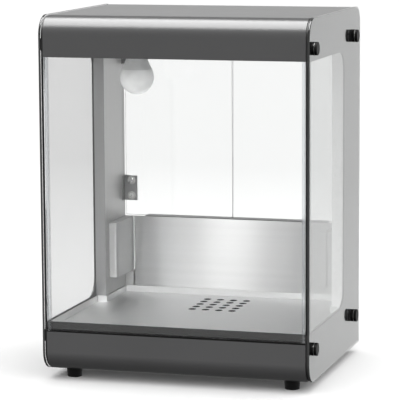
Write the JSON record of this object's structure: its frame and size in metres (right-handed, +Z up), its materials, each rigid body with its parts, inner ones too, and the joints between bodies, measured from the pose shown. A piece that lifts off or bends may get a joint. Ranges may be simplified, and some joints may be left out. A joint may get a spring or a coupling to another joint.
{
  "type": "chip warmer",
  "caption": "Counter-top heated display cabinet with clear side and front glasses, hinged rear glass doors, a lamp, a warm-air floor tray and round feet.",
  "frame": {"origin": "middle of the whole box of the cabinet with its knobs and controls, on the plane that the feet stand on", "axes": "+X to the right as seen from the front, +Y from the front to the back, +Z up"},
  "size_m": [0.4712, 0.4172, 0.613],
  "materials": {
    "graphite_paint": "satin graphite powder coat",
    "stainless": "fine vertical brush, satin",
    "galvanised": "plain galvanised sheet",
    "clear_glass": "clear, polished edges",
    "clear_channel": "clear extruded plastic",
    "black_rubber": "matt black",
    "black_plastic": "fine satin black",
    "hinge_metal": "dark grey satin",
    "fixing_steel": "plain steel",
    "hinge_screw_metal": "dark satin",
    "heater_tube": "dull heat-tinted sheath",
    "opal_plastic": "opal white diffuser",
    "white_plastic": "smooth white",
    "switch_light": "smooth ivory white",
    "switch_heat": "smooth red",
    "pilot_amber": "clear amber lens"
  },
  "bodies": {
    "cabinet": {"base_pan": "graphite_paint", "bulb_cap": "fixing_steel", "bulb_globe": "opal_plastic", "bulb_housing": "white_plastic", "cabinet_screws": "fixing_steel", "cable_gland": "black_plastic", "ceiling_panel": "galvanised", "control_box": "graphite_paint", "door_catch": "black_plastic", "edge_gasket_left": "black_rubber", "edge_gasket_right": "black_rubber", "element_brackets": "galvanised", "fan_frame": "black_plastic", "foot_front_left": "black_rubber", "foot_front_right": "black_rubber", "foot_rear_left": "black_rubber", "foot_rear_right": "black_rubber", "foot_screws": "fixing_steel", "frame_hinge_leaves": "hinge_metal", "front_glass": "clear_glass", "glass_caps": "black_plastic", "glass_channel_left": "clear_channel", "glass_channel_right": "clear_channel", "glass_knobs": "black_plastic", "glass_studs": "fixing_steel", "heat_switch_housing": "black_plastic", "heater_duct": "galvanised", "heating_element": "heater_tube", "hinge_pins": "fixing_steel", "hood_shell": "graphite_paint", "lamp_holder": "white_plastic", "light_switch_housing": "black_plastic", "pilot_lamp": "pilot_amber", "rear_guard": "stainless", "rear_panel": "graphite_paint", "rear_post_left": "stainless", "rear_post_right": "stainless", "side_frame_left": "graphite_paint", "side_frame_right": "graphite_paint", "side_glass_left": "clear_glass", "side_glass_right": "clear_glass", "terminal_block": "white_plastic", "thermostat_body": "black_plastic", "tray_rails": "galvanised"},
    "door_left_body": {"door_left": "clear_glass", "door_hinge_leaves_left": "hinge_metal", "door_hinge_screws_left": "hinge_screw_metal", "door_knob_left": "black_plastic", "door_strike_left": "fixing_steel"},
    "door_right_body": {"door_right": "clear_glass", "door_hinge_leaves_right": "hinge_metal", "door_hinge_screws_right": "hinge_screw_metal", "door_knob_right": "black_plastic", "door_strike_right": "fixing_steel"},
    "tray_body": {"floor_tray": "stainless"},
    "impeller_body": {"fan_impeller": "black_plastic"},
    "dial_body": {"thermostat_dial": "black_plastic"},
    "light_rocker_body": {"light_switch_rocker": "switch_light"},
    "heat_rocker_body": {"heat_switch_rocker": "switch_heat"}
  },
  "joints": [
    {"name": "door_left_hinge", "type": "hinge", "parent": "cabinet", "child": "door_left_body", "pos_m": [-0.206, 0.1662, 0.2303], "axis": [0, 0, 1], "range_deg": [0, 110]},
    {"name": "door_right_hinge", "type": "hinge", "parent": "cabinet", "child": "door_right_body", "pos_m": [0.1968, 0.1662, 0.2303], "axis": [0, 0, -1], "range_deg": [0, 110]},
    {"name": "tray_lift", "type": "slide", "parent": "cabinet", "child": "tray_body", "axis": [0, 0, 1], "range_m": [0, 0.025]},
    {"name": "fan_spin", "type": "hinge", "parent": "cabinet", "child": "impeller_body", "pos_m": [-0.0046, 0.0709, 0.0175], "axis": [0, 0, 1], "continuous": true},
    {"name": "thermostat_turn", "type": "hinge", "parent": "cabinet", "child": "dial_body", "pos_m": [-0.0246, 0.1906, 0.16425], "axis": [0, -1, 0], "range_deg": [0, 270]},
    {"name": "light_rocker_tilt", "type": "hinge", "parent": "cabinet", "child": "light_rocker_body", "pos_m": [0.0744, 0.1896, 0.16425], "axis": [1, 0, 0], "range_deg": [0, 16]},
    {"name": "heat_rocker_tilt", "type": "hinge", "parent": "cabinet", "child": "heat_rocker_body", "pos_m": [0.1084, 0.1896, 0.16425], "axis": [1, 0, 0], "range_deg": [0, 16]}
  ]
}
